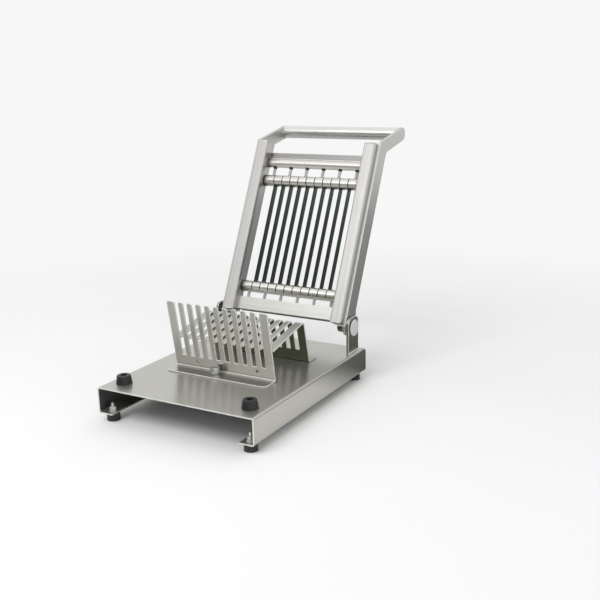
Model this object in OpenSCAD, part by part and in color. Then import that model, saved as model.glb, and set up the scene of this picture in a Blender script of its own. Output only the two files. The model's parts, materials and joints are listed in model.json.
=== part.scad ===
// Counter-top fruit slicer: a hinged frame of parallel blades swings down through a slotted comb and saddle.
// Lengths are in millimetres. X runs across, Y to the back, Z up.
// The frame is drawn open, resting on its heels.

/* [Base tray] */
// Sheet thickness of the base, the comb and the saddle
sheet_t = 2; // [1.5:0.5:3]
// Height of the tray, from the underside of its flanges to the top of its plate
base_h = 37.5; // [32:0.5:50]
// Width of the flanges turned in along the bottom
flange_w = 23; // [20:0.5:30]
// Outer radius of the long bends
bend_r = 3.5; // [3.5:0.5:6]
// Outer radius of the bend at the back
rear_r = 9; // [5:0.5:12]
// How far the pivot bolt heads stay inside the sides of the tray
head_inset = 4.2; // [0.5:0.1:6]
// Distance from the hinge axis to the back of the tray
hinge_setback = 28; // [26:0.5:45]

/* [Feet and bumpers] */
// Diameter of a rubber foot
foot_d = 19; // [16:0.5:24]
// Height of a rubber foot
foot_h = 11.5; // [9:0.5:20]
// Diameter of a foot's stud
stud_d = 6; // [5:0.5:8]
// How far a stud rises above the underside of the flange
stud_rise = 13; // [11:0.5:18]
// Diameter of a bumper at the plate
bumper_d = 22.5; // [18:0.5:26]
// Diameter of a bumper at its top
bumper_top_d = 19; // [14:0.5:22]
// Height of a bumper
bumper_h = 12; // [9:0.5:13]
// Diameter of the hole in a bumper
bumper_hole_d = 8.6; // [8.2:0.1:10]
// Thickness of the rubber under a bumper's screw head
bumper_floor = 4; // [3:0.5:6]
// Distance from the front of the tray to the bumpers
bumper_front = 29; // [18:0.5:45]
// How far outside the centre line of its rail a bumper sits
bumper_offset = 5.9; // [-2:0.1:6]

/* [Hinge] */
// Height of the hinge axis above the plate
hinge_h = 37; // [36:0.5:45]
// Thickness of a hinge post
post_t = 4; // [3:0.5:6]
// Width of a hinge post
post_w = 33; // [28:0.5:40]
// Height of a post above the hinge axis
post_over = 16; // [15:0.5:30]
// Radius of a post's top corners
post_r = 9; // [3:0.5:12]
// Diameter of a pivot bolt's shoulder
pivot_d = 12; // [10:0.5:14]
// Diameter of a pivot bolt's thread
pivot_thread_d = 6; // [5:0.5:6.5]
// Diameter of a pivot bolt's head
pivot_head_d = 25; // [23:0.5:30]
// Thickness of a pivot bolt's head
pivot_head_t = 2; // [1.5:0.5:7]
// Wall of a pivot bush
bush_wall = 2; // [1.5:0.25:3]
// Thickness of a pivot bush's flange
bush_flange_t = 0.5; // [0.5:0.25:2]
// Diameter of the boss on a side plate
boss_d = 16; // [15:0.5:24]
// Thickness of the boss on a side plate
boss_t = 3.1; // [3:0.1:8]
// Width of the lug under a rail that the pivot bolt screws into
lug_w = 11; // [8:0.5:14]
// Radius of the lug's round end
lug_r = 8.5; // [7:0.5:10]

/* [Swing frame] */
// Lean of the open frame behind the vertical
lean = 25.7; // [15:0.1:32]
// Width of a rail
rail_w = 20; // [15:0.5:30]
// Depth of a rail
rail_d = 25; // [22:0.5:30]
// Wall of a rail
rail_wall = 1.5; // [1.5:0.25:2.5]
// Outer corner radius of a rail
rail_r = 3; // [3:0.25:5]
// Front face of a rail ahead of the blades' middle plane
rail_front = 20.5; // [17:0.5:22]
// Lower end of a rail, measured along it from the hinge axis
rail_bottom = 1.5; // [1.5:0.5:4]
// Upper end of a rail, measured along it from the hinge axis
rail_top = 283; // [270:1:330]
// How far from the upper end a rail meets its bumper
bumper_from_end = 20; // [16:0.5:40]
// Thickness of a rail's end cap
cap_t = 2; // [2:0.5:4]
// Thickness of a side plate
plate_t = 4.5; // [2:0.5:5]
// Width of a side plate along its rail
plate_w = 26; // [24:0.5:32]
// Width of a side plate's arm
arm_w = 21; // [20.5:0.5:26]
// Radius inside the crank of a side plate
crank_r = 10; // [4:0.5:16]
// Width of a side plate's heel
heel_w = 16; // [10:0.5:17]
// How far behind the hinge axis a heel starts
heel_back = 2; // [1:0.5:4]
// Where the heel's back edge meets the side plate, measured along it from the hinge axis
heel_top = 30; // [15:1:60]
// Height of the handle above the rails, measured along them
handle_up = 46; // [40:1:80]
// Distance of the handle behind the blades' middle plane
handle_back = 60.11; // [50:0.01:80]
// Diameter of the handle
handle_d = 20.5; // [16:0.5:20.5]
// Wall of the handle tube
handle_wall = 1.5; // [1:0.25:2.5]

/* [Blade pack] */
// Number of blades
blade_count = 10; // [6:2:12]
// Distance from blade to blade
blade_pitch = 14.8; // [13:0.1:20]
// Thickness of a blade
blade_t = 1.2; // [0.8:0.1:2]
// Depth of a blade
blade_d = 11.5; // [11:0.5:14.5]
// Depth of a blade's ground edge
edge_d = 2.5; // [1:0.25:4]
// Width of a blade's bare edge
edge_t = 0.3; // [0.1:0.1:0.5]
// Diameter of the two blade bars
bar_d = 18.5; // [18:0.5:24]
// Diameter of the pin through the blade ends
pin_d = 5; // [4:0.25:5]
// Diameter of a tension screw
screw_d = 5; // [4:0.25:6]
// How deep a tension screw sits in a blade bar
screw_in_bar = 6; // [4:0.25:6]
// How deep a tension screw sits in the tension rod and the cross bar
screw_in_rod = 8; // [5:0.5:10]
// Free length of the upper tension screws
upper_free = 13.45; // [10:0.05:20]
// Free length of the lower tension screws
lower_free = 9.95; // [8:0.05:16]
// Diameter of the tension rod
rod_d = 14; // [12:0.5:18]
// Height of the upper tie bar
tie_h = 10; // [8:0.5:16]
// Depth of the upper tie bar
tie_d = 8; // [6:0.5:16]
// Top of the tie bar below the end of the rails
tie_drop = 15; // [8:0.5:20]
// Side of the lower cross bar
cross_w = 20; // [16:0.5:21]
// Lower face of the cross bar, measured along the rails from the hinge axis
cross_bottom = 5; // [4:0.5:10]

/* [Comb and saddle] */
// Width of a slot
slot_w = 6.4; // [4.5:0.1:7]
// Width of the outermost teeth and fingers
end_tooth_w = 13.2; // [9:0.05:16]
// Corner radius of the comb's tips
tip_r = 3; // [1:0.25:3.25]
// Gap from the comb and the saddle to each rail
side_clear = 3.1; // [2:0.1:8]
// Lean of the comb ahead of the vertical
comb_lean = 9.75; // [5:0.25:14]
// Length of the comb along its face, from the plate to the tips
comb_len = 101.8; // [85:0.1:112]
// Depth of the comb's foot flange
comb_foot = 27.3; // [24:0.1:34]
// Corner radius of the foot flanges
foot_corner_r = 8; // [3:0.5:10]
// Front of the comb's foot flange behind the sweep of the upper blade bar
sweep_clear = 16; // [6:0.5:22]
// Height of the bottoms of the slots above the plate
slot_floor = 19; // [17:0.5:22]
// Inner radius of the bends
fold_r = 3; // [2:0.5:4]
// Diameter of the two small holes in the comb
comb_hole_d = 3; // [2:0.5:4]
// Height of the small holes above the plate
comb_hole_h = 12.2; // [10.5:0.1:13]
// Place of the left small hole from the middle
comb_hole_left = 44; // [30:1:60]
// Place of the right small hole from the middle
comb_hole_right = 55; // [30:1:60]
// Tilt of the saddle's fingers
saddle_tilt = 12.6; // [8:0.1:16]
// Distance from the saddle's ridge to the hinge axis
ridge_to_hinge = 87; // [86:0.5:100]
// Height of the saddle's ridge above the plate
ridge_h = 64.5; // [56:0.5:68]
// Gap from the ends of the fingers to the comb
finger_gap = 2.5; // [1:0.1:6]
// Depth of the saddle's foot flange
saddle_foot = 24; // [20:0.5:26]
// Place of the saddle's screws from the middle
saddle_screw_x = 55; // [30:1:60]

/* [Fasteners] */
// Diameter of the thumb screw's knob
knob_d = 13.6; // [11:0.1:15]
// Height of the thumb screw's knob
knob_h = 9.2; // [7:0.1:12]
// Number of grooves round the knob
knob_grooves = 28; // [16:2:40]
// Diameter of the thumb screw's thread
thumb_d = 6; // [5:0.5:8]
// Place of the thumb screw left of the middle
thumb_left = 9; // [0:0.5:20]
// Gap from the knob to the foot of the comb's face
thumb_gap = 3.5; // [2:0.1:5]
// Diameter of the small screws
small_d = 5; // [4:0.5:6]
// Diameter of a small screw's head
small_head_d = 8; // [7.5:0.1:8]
// Height of a small screw's head
small_head_h = 3; // [2:0.25:4]
// Thickness of a washer
washer_t = 1.2; // [1:0.1:1.6]

/* [Clearances] */
// Gap between pieces that move past each other
run_gap = 0.3; // [0.3:0.05:0.6]
// Clearance round a shaft in its bore, on the radius
fit_gap = 0.05; // [0.02:0.01:0.08]
// Clearance round a screw in a plain hole, on the radius
hole_gap = 0.3; // [0.2:0.05:0.6]
// Clearance on each side of a blade in its slot
blade_gap = 0.15; // [0.1:0.05:0.3]
// Gap from the ends of the blade bars to the rails
bar_end_gap = 1.1; // [0.5:0.1:2]

/* [Hidden] */
$fn = 64;
hair = 0.01;
past = 1;

steel = [0.78, 0.78, 0.76];
bright_steel = [0.88, 0.88, 0.86];
blade_steel = [0.24, 0.27, 0.24];
bronze = [0.70, 0.54, 0.30];
rubber = [0.07, 0.07, 0.07];
black = [0.12, 0.12, 0.12];

// A hex nut measures so many thread diameters across its flats and in height
nut_flats = 1.65;
nut_height = 0.8;
lock_nut_flats = 1.4;
lock_nut_height = 0.6;
// Hex socket of a pivot bolt
socket_flats = 6;
socket_deep = 2.5;
// Edge breaks
foot_chamfer = 1.5;
bumper_round = 1.5;
knob_chamfer = 0.8;
knob_groove_d = 1.1;
head_chamfer = 0.6;
// What a screw shows past its nut
screw_past_nut = 2;
// Stud seat above the bottom of a rubber foot
foot_sole = 4;
washer_over_nut = 2;
// Largest turn of one facet of a bend
arc_step = 6;
// Turn of a blade bar about its axis that keeps the seam of its round face clear of the bores
seam_turn = 90;
// How much a slot thins the back of a blade bar
slot_relief = 0.05;

// Across the machine
cradle_half = ((blade_count - 1) * blade_pitch + slot_w) / 2 + end_tooth_w;
rail_in_x = cradle_half + side_clear;
rail_out_x = rail_in_x + rail_w;
rail_mid_x = rail_in_x + rail_w / 2;
plate_out_x = rail_out_x + plate_t;
post_in_x = plate_out_x + boss_t + run_gap;
post_out_x = post_in_x + post_t;
head_in_x = post_out_x + bush_flange_t + run_gap;
head_out_x = head_in_x + pivot_head_t;
base_half = head_out_x + head_inset;
bar_half = rail_in_x - bar_end_gap;
bush_d = pivot_d + 2 * (fit_gap + bush_wall);

// Along the machine, from the front of the tray
hinge_y = bumper_front + rail_top - bumper_from_end;
base_l = hinge_y + hinge_setback;
foot_inset = flange_w / 2 + sheet_t;

// Upwards, from the floor
plate_z = foot_h + base_h;
hinge_z = plate_z + hinge_h;

// Along the rails, from the hinge axis
cross_top = cross_bottom + cross_w;
lower_bar_s = cross_top + lower_free + bar_d / 2;
tie_top = rail_top - tie_drop;
rod_s = tie_top - tie_h - rod_d / 2;
upper_bar_s = rod_s - rod_d / 2 - upper_free - bar_d / 2;
handle_s = rail_top + handle_up;

// Comb and saddle, in the side view
comb_y = hinge_y - (upper_bar_s - bar_d / 2 - sweep_clear) + comb_foot;
comb_rise = (sheet_t + fold_r + fold_r * sin(comb_lean)) / cos(comb_lean);
ridge_y = hinge_y - ridge_to_hinge;
ridge_r = fold_r + sheet_t;
comb_to_ridge = (ridge_y - comb_y) * cos(comb_lean) + ridge_h * sin(comb_lean);
finger_len = (comb_to_ridge - sheet_t - finger_gap) / cos(saddle_tilt - comb_lean);
leg_len = (ridge_h - sheet_t - fold_r + fold_r * sin(saddle_tilt)) / cos(saddle_tilt);
leg_foot_y = ridge_y + leg_len * sin(saddle_tilt) + fold_r * cos(saddle_tilt);
saddle_end_y = leg_foot_y + saddle_foot;
thumb_y = comb_y - knob_d / 2 - thumb_gap;
saddle_screw_y = leg_foot_y + saddle_foot / 2;

// The origin lies on the floor, halfway between the front of the tray and the back of the open arms
open_depth = hinge_y + handle_s * sin(lean) + handle_back * cos(lean) + arm_w / 2;
origin_y = open_depth / 2;

// Lengths of the screws below the plate
small_nut_h = small_d * nut_height;
thumb_nut_h = thumb_d * nut_height;
stud_nut_h = stud_d * nut_height;
lock_nut_h = screw_d * lock_nut_height;

// Slots lie at the blades, screws in every second gap between blades
function blade_x(i) = (i - (blade_count - 1) / 2) * blade_pitch;
screw_last = blade_count / 2;
screw_places = [for (i = [0 : screw_last]) (2 * i - screw_last) * blade_pitch];
tooth_edges = concat(
    [-cradle_half],
    [for (i = [0 : blade_count - 1]) each [blade_x(i) - slot_w / 2, blade_x(i) + slot_w / 2]],
    [cradle_half]
);

bar_edges = concat(
    [-bar_half],
    [for (i = [0 : blade_count - 1], side = [-1, 1]) blade_x(i) + side * (blade_t / 2 + blade_gap)],
    [bar_half]
);

function blade_name(i) = str("blade_", i + 1);

// Points along an arc, from one angle to another
function arc(middle, r, a0, a1) =
    let (n = ceil(abs(a1 - a0) / arc_step))
    [for (k = [0 : n]) let (a = a0 + (a1 - a0) * k / n) middle + r * [cos(a), sin(a)]];

// A point on a line that leaves its foot at a given angle, so far along it and so far to its left
function beside(foot, angle, along, left) =
    foot + along * [cos(angle), sin(angle)] + left * [-sin(angle), cos(angle)];

// From the tray's front edge and the floor to the part's own frame
module placed() {
    translate([0, -origin_y, 0]) children();
}

// From the frame's own upright drawing, with the hinge axis at its origin, to its open pose
module swung() {
    placed() translate([0, hinge_y, hinge_z]) rotate([-lean, 0, 0]) children();
}

// A piece drawn on the right, kept there or carried to the left
module on_side(sx) {
    mirror([sx < 0 ? 1 : 0, 0, 0]) children();
}

// A side view (Y, Z) carried across the machine
module across(x0, x1) {
    translate([x0, 0, 0]) rotate([90, 0, 90]) linear_extrude(x1 - x0) children();
}

// A cylinder along X
module shaft(d, x0, x1) {
    translate([x0, 0, 0]) rotate([0, 90, 0]) cylinder(d = d, h = x1 - x0);
}

module rounded_rect(w, h, r) {
    square([w - 2 * r, h], center = true);
    square([w, h - 2 * r], center = true);
    for (sx = [-1, 1], sy = [-1, 1]) translate([sx * (w / 2 - r), sy * (h / 2 - r)]) circle(r = r);
}

// Part of a ring between two angles, which are less than 120 degrees apart
module ring_sector(r_in, r_out, a0, a1) {
    reach = 2 * r_out;
    intersection() {
        difference() {
            circle(r = r_out);
            circle(r = r_in);
        }
        polygon([[0, 0], for (a = [a0, (a0 + a1) / 2, a1]) reach * [cos(a), sin(a)]]);
    }
}

module hex_nut(d, h, flats = nut_flats) {
    difference() {
        cylinder(d = d * flats / cos(30), h = h, $fn = 6);
        translate([0, 0, -past]) cylinder(r = d / 2 + fit_gap, h = h + 2 * past);
    }
}

module at_feet() {
    for (sx = [-1, 1], y = [foot_inset, base_l - foot_inset]) {
        translate([sx * (base_half - foot_inset), y, 0]) children();
    }
}

module at_bumpers() {
    for (sx = [-1, 1]) translate([sx * (rail_mid_x + bumper_offset), bumper_front, plate_z]) children();
}

module at_saddle_screws() {
    for (sx = [-1, 1]) translate([sx * saddle_screw_x, saddle_screw_y, plate_z]) children();
}

module at_thumb_screw() {
    translate([-thumb_left, thumb_y, plate_z]) children();
}

// Base tray
module tray_section() {
    difference() {
        rounded_rect(2 * base_half, base_h, bend_r);
        rounded_rect(2 * (base_half - sheet_t), base_h - 2 * sheet_t, bend_r - sheet_t);
        translate([0, -base_h / 2]) square([2 * (base_half - flange_w), 2 * bend_r], center = true);
    }
}

module tray_side_view() {
    square([base_l, base_h - rear_r]);
    square([base_l - rear_r, base_h]);
    translate([base_l - rear_r, base_h - rear_r]) circle(r = rear_r);
}

module tray_back() {
    translate([base_l - sheet_t, 0]) square([sheet_t, base_h - rear_r]);
    translate([base_l - rear_r, base_h - rear_r]) ring_sector(rear_r - sheet_t, rear_r, 0, 90);
}

module base_tray() {
    color(steel) placed() difference() {
        translate([0, 0, foot_h]) union() {
            intersection() {
                translate([0, base_l, base_h / 2]) rotate([90, 0, 0]) {
                    linear_extrude(base_l) tray_section();
                }
                across(-base_half, base_half) tray_side_view();
            }
            across(-base_half + sheet_t - hair, base_half - sheet_t + hair) tray_back();
        }
        at_feet() translate([0, 0, foot_h - past]) {
            cylinder(r = stud_d / 2 + hole_gap, h = sheet_t + 2 * past);
        }
        at_bumpers() plate_hole(small_d);
        at_saddle_screws() plate_hole(small_d);
        at_thumb_screw() plate_hole(thumb_d);
    }
}

module plate_hole(d) {
    translate([0, 0, -sheet_t - past]) cylinder(r = d / 2 + hole_gap, h = sheet_t + 2 * past);
}

// Feet and bumpers
module foot(sx, y) {
    color(rubber) placed() translate([sx * (base_half - foot_inset), y, 0]) rotate_extrude() {
        difference() {
            polygon([
                [0, 0],
                [foot_d / 2 - foot_chamfer, 0],
                [foot_d / 2, foot_chamfer],
                [foot_d / 2, foot_h],
                [0, foot_h]
            ]);
            translate([0, foot_sole]) square([stud_d / 2 + fit_gap, foot_h]);
        }
    }
}

module foot_studs() {
    color(bright_steel) placed() at_feet() {
        translate([0, 0, foot_sole]) cylinder(d = stud_d, h = foot_h - foot_sole + stud_rise);
    }
}

module foot_washers() {
    color(bright_steel) placed() at_feet() translate([0, 0, foot_h + sheet_t]) difference() {
        cylinder(d = stud_d * nut_flats + washer_over_nut, h = washer_t);
        translate([0, 0, -past]) cylinder(r = stud_d / 2 + hole_gap, h = washer_t + 2 * past);
    }
}

module foot_nuts() {
    color(bright_steel) placed() at_feet() {
        translate([0, 0, foot_h + sheet_t + washer_t]) hex_nut(stud_d, stud_nut_h);
    }
}

module bumper(sx) {
    hole_r = bumper_hole_d / 2;
    shank_r = small_d / 2 + fit_gap;
    color(rubber) placed() translate([sx * (rail_mid_x + bumper_offset), bumper_front, plate_z]) {
        rotate_extrude() polygon([
            [shank_r, 0],
            [bumper_d / 2, 0],
            [bumper_top_d / 2, bumper_h - bumper_round],
            [bumper_top_d / 2 - bumper_round, bumper_h],
            [hole_r, bumper_h],
            [hole_r, bumper_floor],
            [shank_r, bumper_floor]
        ]);
    }
}

// A screw with a round head that stands on z = seat and a nut under the plate
module small_screw(seat) {
    tail = sheet_t + small_nut_h + screw_past_nut;
    translate([0, 0, -tail]) cylinder(d = small_d, h = tail + seat + hair);
    translate([0, 0, seat]) difference() {
        cylinder(d = small_head_d, h = small_head_h);
        translate([0, 0, small_head_h / 2]) cylinder(d = small_d / 2 / cos(30), h = small_head_h, $fn = 6);
    }
}

module small_nut() {
    translate([0, 0, -sheet_t - small_nut_h]) hex_nut(small_d, small_nut_h);
}

module bumper_screws() {
    color(bright_steel) placed() at_bumpers() small_screw(bumper_floor);
}

module bumper_nuts() {
    color(bright_steel) placed() at_bumpers() small_nut();
}

// Hinge posts and their bushes
module hinge_post(sx) {
    top = hinge_h + post_over;
    color(steel) placed() translate([0, hinge_y, plate_z]) on_side(sx) {
        across(post_in_x, post_out_x) difference() {
            union() {
                translate([-post_w / 2, 0]) square([post_w, top - post_r]);
                translate([post_r - post_w / 2, 0]) square([post_w - 2 * post_r, top]);
                for (side = [-1, 1]) {
                    translate([side * (post_w / 2 - post_r), top - post_r]) circle(r = post_r);
                }
            }
            translate([0, hinge_h]) circle(d = bush_d + 2 * fit_gap);
        }
    }
}

module pivot_bush(sx) {
    flange_d = pivot_head_d - 2 * head_chamfer;
    color(bronze) placed() translate([0, hinge_y, hinge_z]) on_side(sx) difference() {
        union() {
            shaft(bush_d, post_in_x, post_out_x + hair);
            shaft(flange_d, post_out_x, post_out_x + bush_flange_t);
        }
        shaft(pivot_d + 2 * fit_gap, post_in_x - past, post_out_x + bush_flange_t + past);
    }
}

module pivot_boss(sx) {
    color(steel) swung() on_side(sx) difference() {
        shaft(boss_d, plate_out_x, plate_out_x + boss_t);
        shaft(pivot_thread_d + 2 * fit_gap, plate_out_x - past, plate_out_x + boss_t + past);
    }
}

module pivot_bolt(sx) {
    shoulder_x = plate_out_x + boss_t;
    color(bright_steel) swung() on_side(sx) difference() {
        union() {
            shaft(pivot_thread_d, rail_out_x - lug_w, shoulder_x + hair);
            shaft(pivot_d, shoulder_x, head_in_x + hair);
            translate([head_in_x, 0, 0]) rotate([90, 0, 90]) rotate_extrude() polygon([
                [0, 0],
                [pivot_head_d / 2, 0],
                [pivot_head_d / 2, pivot_head_t - head_chamfer],
                [pivot_head_d / 2 - head_chamfer, pivot_head_t],
                [0, pivot_head_t]
            ]);
        }
        translate([head_out_x - socket_deep, 0, 0]) rotate([0, 90, 0]) {
            cylinder(d = socket_flats / cos(30), h = socket_deep + past, $fn = 6);
        }
    }
}

// Comb
module teeth(bottom, top, r) {
    for (k = [0 : blade_count]) {
        x0 = tooth_edges[2 * k];
        x1 = tooth_edges[2 * k + 1];
        translate([x0, bottom]) square([x1 - x0, top - r - bottom]);
        if (r > 0) {
            translate([x0 + r, bottom]) square([x1 - x0 - 2 * r, top - bottom]);
            for (x = [x0 + r, x1 - r]) translate([x, top - r]) circle(r = r);
        }
    }
}

// The comb's face: a plain band up to the slots, then the teeth
module comb_face() {
    slot_v = slot_floor / cos(comb_lean);
    translate([-cradle_half, -comb_len]) square([2 * cradle_half, comb_len + slot_v]);
    teeth(slot_v - hair, comb_len, tip_r);
}

module comb_side_view() {
    front = comb_y - comb_foot;
    face = 90 + comb_lean;
    middle = [comb_y - comb_rise * sin(comb_lean) - fold_r * cos(comb_lean), ridge_r];
    polygon(concat(
        [[front, sheet_t], [front, 0]],
        arc(middle, ridge_r, 270, 360 + comb_lean),
        [beside([comb_y, 0], face, comb_len, -sheet_t), beside([comb_y, 0], face, comb_len, 0)],
        arc(middle, fold_r, 360 + comb_lean, 270)
    ));
}

// A strip along Y with rounded corners where it starts
module foot_plan(length) {
    w = 2 * cradle_half;
    translate([-w / 2, foot_corner_r]) square([w, length - foot_corner_r]);
    translate([foot_corner_r - w / 2, 0]) square([w - 2 * foot_corner_r, foot_corner_r + hair]);
    for (sx = [-1, 1]) translate([sx * (w / 2 - foot_corner_r), foot_corner_r]) circle(r = foot_corner_r);
}

module front_comb() {
    hole_v = comb_hole_h / cos(comb_lean);
    color(steel) placed() difference() {
        translate([0, 0, plate_z]) intersection() {
            across(-cradle_half - past, cradle_half + past) comb_side_view();
            translate([0, comb_y, 0]) rotate([90 + comb_lean, 0, 0]) {
                translate([0, 0, -comb_foot]) linear_extrude(3 * comb_foot) comb_face();
            }
            translate([0, comb_y - comb_foot, -past]) linear_extrude(2 * comb_len) foot_plan(comb_len);
        }
        translate([0, comb_y, plate_z]) rotate([90 + comb_lean, 0, 0]) {
            for (x = [-comb_hole_left, comb_hole_right]) translate([x, hole_v, -sheet_t - past]) {
                cylinder(d = comb_hole_d, h = sheet_t + 2 * past);
            }
        }
        at_thumb_screw() translate([0, 0, -past]) {
            cylinder(r = thumb_d / 2 + hole_gap, h = sheet_t + 2 * past);
        }
    }
}

module thumb_nut() {
    color(bright_steel) placed() at_thumb_screw() translate([0, 0, -sheet_t - thumb_nut_h]) {
        hex_nut(thumb_d, thumb_nut_h);
    }
}

module thumb_screw() {
    tail = sheet_t + thumb_nut_h + screw_past_nut;
    seat = sheet_t + run_gap;
    color(bright_steel) placed() at_thumb_screw() {
        translate([0, 0, -tail]) cylinder(d = thumb_d, h = tail + seat + hair);
        translate([0, 0, seat]) difference() {
            rotate_extrude() polygon([
                [0, 0],
                [knob_d / 2 - knob_chamfer, 0],
                [knob_d / 2, knob_chamfer],
                [knob_d / 2, knob_h - knob_chamfer],
                [knob_d / 2 - knob_chamfer, knob_h],
                [0, knob_h]
            ]);
            for (k = [0 : knob_grooves - 1]) rotate(k * 360 / knob_grooves) {
                translate([knob_d / 2, 0, -past]) {
                    cylinder(d = knob_groove_d, h = knob_h + 2 * past, $fn = 16);
                }
            }
        }
    }
}

// Saddle, drawn with its ridge at the origin, its fingers along -Y and its leg along -Z
module at_ridge() {
    placed() translate([0, ridge_y, plate_z + ridge_h]) rotate([saddle_tilt, 0, 0]) children();
}

module saddle_fingers() {
    color(steel) at_ridge() translate([0, 0, -sheet_t]) mirror([0, 1, 0]) {
        linear_extrude(sheet_t) teeth(ridge_r, finger_len, 0);
    }
}

module leg_side_view() {
    ridge = beside([ridge_y, ridge_h], saddle_tilt - 90, ridge_r, -ridge_r);
    foot = [leg_foot_y, ridge_r];
    polygon(concat(
        arc(ridge, ridge_r, 90 + saddle_tilt, saddle_tilt),
        arc(foot, fold_r, 180 + saddle_tilt, 270),
        [[saddle_end_y, sheet_t], [saddle_end_y, 0]],
        arc(foot, ridge_r, 270, 180 + saddle_tilt),
        arc(ridge, fold_r, saddle_tilt, 90 + saddle_tilt)
    ));
}

// The leg's face, seen along the sheet: strips above the slots' floor, a plain band below it
module leg_face() {
    slot_v = (slot_floor - ridge_h) / cos(saddle_tilt);
    translate([-cradle_half, slot_v - ridge_h]) square([2 * cradle_half, ridge_h]);
    teeth(slot_v - hair, past, 0);
}

module saddle_leg() {
    color(steel) placed() difference() {
        translate([0, 0, plate_z]) intersection() {
            across(-cradle_half - past, cradle_half + past) leg_side_view();
            translate([0, ridge_y, ridge_h]) rotate([90 + saddle_tilt, 0, 0]) {
                translate([0, 0, -2 * saddle_foot]) linear_extrude(3 * saddle_foot) leg_face();
            }
            translate([0, saddle_end_y, -past]) mirror([0, 1, 0]) {
                linear_extrude(2 * ridge_h) foot_plan(2 * ridge_h);
            }
        }
        at_saddle_screws() translate([0, 0, -past]) {
            cylinder(r = small_d / 2 + hole_gap, h = sheet_t + 2 * past);
        }
    }
}

module saddle_screws() {
    color(bright_steel) placed() at_saddle_screws() small_screw(sheet_t);
}

module saddle_nuts() {
    color(bright_steel) placed() at_saddle_screws() small_nut();
}

// Swing frame, drawn upright with the hinge axis at the origin and its front towards -Y
module rail_section() {
    translate([rail_mid_x, rail_d / 2 - rail_front]) rounded_rect(rail_w, rail_d, rail_r);
}

module rail(sx) {
    inner_w = rail_w - 2 * rail_wall;
    inner_d = rail_d - 2 * rail_wall;
    color(steel) swung() on_side(sx) translate([0, 0, rail_bottom + cap_t]) {
        linear_extrude(rail_top - rail_bottom - 2 * cap_t) difference() {
            rail_section();
            translate([rail_mid_x, rail_d / 2 - rail_front]) {
                rounded_rect(inner_w, inner_d, rail_r - rail_wall);
            }
        }
    }
}

// Threaded lug under a rail's lower cap, in the frame's side view
module lug_outline() {
    top = rail_bottom + cap_t / 2;
    polygon(concat([[lug_r, top], [-lug_r, top]], arc([0, 0], lug_r, 180, 360)));
}

module rail_caps() {
    color(steel) swung() for (sx = [-1, 1]) on_side(sx) {
        translate([0, 0, rail_top - cap_t]) linear_extrude(cap_t) rail_section();
        difference() {
            union() {
                translate([0, 0, rail_bottom]) linear_extrude(cap_t) rail_section();
                across(rail_out_x - lug_w, rail_out_x) lug_outline();
            }
            shaft(pivot_thread_d + 2 * fit_gap, rail_out_x - lug_w - past, rail_out_x + past);
        }
    }
}

// A point of a heel's foot in the frame's side view, at a given distance behind the hinge axis
function heel_foot(y) =
    let (z = run_gap - hinge_h)
    [y * cos(lean) - z * sin(lean), y * sin(lean) + z * cos(lean)];

// Side plate in the frame's side view: a strip along the rail, a cranked arm and a heel to stand on
module side_plate_outline() {
    half = plate_w / 2;
    arm_half = arm_w / 2;
    along = [handle_back, handle_up] / norm([handle_back, handle_up]);
    front = [-along[1], along[0]];
    elbow = [0, rail_top];
    grip = [handle_back, handle_s];
    front_top = elbow + arm_half * front + along * (-half - arm_half * front[0]) / along[0];
    inner = elbow - arm_half * front + along * (half + arm_half * front[0]) / along[0];
    crank = atan2(along[0], along[1]);
    crank_middle = inner + crank_r * [1, -tan(crank / 2)];
    difference() {
        polygon(concat(
            arc([0, 0], half, 180, 360 + lean - acos(heel_back / half)),
            [heel_foot(heel_back), heel_foot(heel_back + heel_w), [half, heel_top]],
            arc(crank_middle, crank_r, 180, 180 - crank),
            arc(grip, arm_half, -crank, 180 - crank),
            [front_top]
        ));
        circle(r = pivot_thread_d / 2 + fit_gap);
    }
}

module side_plate(sx) {
    color(steel) swung() on_side(sx) {
        across(rail_out_x, plate_out_x) side_plate_outline();
    }
}

module handle_tube() {
    color(steel) swung() translate([0, handle_back, handle_s]) difference() {
        shaft(handle_d, -rail_out_x, rail_out_x);
        shaft(handle_d - 2 * handle_wall, -rail_out_x - past, rail_out_x + past);
    }
}

module upper_tie_bar() {
    color(steel) swung() translate([-rail_in_x, -tie_d / 2, tie_top - tie_h]) {
        cube([2 * rail_in_x, tie_d, tie_h]);
    }
}

module screw_bores(z0, z1) {
    for (x = screw_places) translate([x, 0, z0]) cylinder(r = screw_d / 2 + fit_gap, h = z1 - z0);
}

module tension_rod() {
    color(steel) swung() difference() {
        translate([0, 0, rod_s]) shaft(rod_d, -rail_in_x, rail_in_x);
        screw_bores(rod_s - rod_d / 2 - past, rod_s - rod_d / 2 + screw_in_rod);
    }
}

module lower_cross_bar() {
    color(steel) swung() difference() {
        translate([-rail_in_x, -cross_w / 2, cross_bottom]) cube([2 * rail_in_x, cross_w, cross_w]);
        screw_bores(cross_top - screw_in_rod, cross_top + past);
    }
}

// What the slots leave along the back of a blade bar
module bar_spine() {
    floor_r = blade_d / 2 + blade_gap;
    half = blade_x(blade_count - 1) + blade_pitch / 2;
    intersection() {
        shaft(bar_d - 2 * slot_relief, -half, half);
        translate([-half, -bar_d / 2, -bar_d / 2]) cube([2 * half, bar_d, bar_d / 2 - floor_r]);
    }
}

// A blade bar, its slots open towards the blades: upwards on the lower bar, downwards on the upper one
module blade_bar(s, blades_up) {
    color(steel) swung() translate([0, 0, s]) rotate([blades_up ? 0 : 180, 0, 0]) difference() {
        union() {
            bar_spine();
            for (k = [0 : 2 : len(bar_edges) - 1]) rotate([seam_turn, 0, 0]) {
                shaft(bar_d, bar_edges[k], bar_edges[k + 1]);
            }
        }
        shaft(pin_d + 2 * fit_gap, -bar_half - past, bar_half + past);
        screw_bores(-bar_d / 2 - past, screw_in_bar - bar_d / 2);
    }
}

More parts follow.
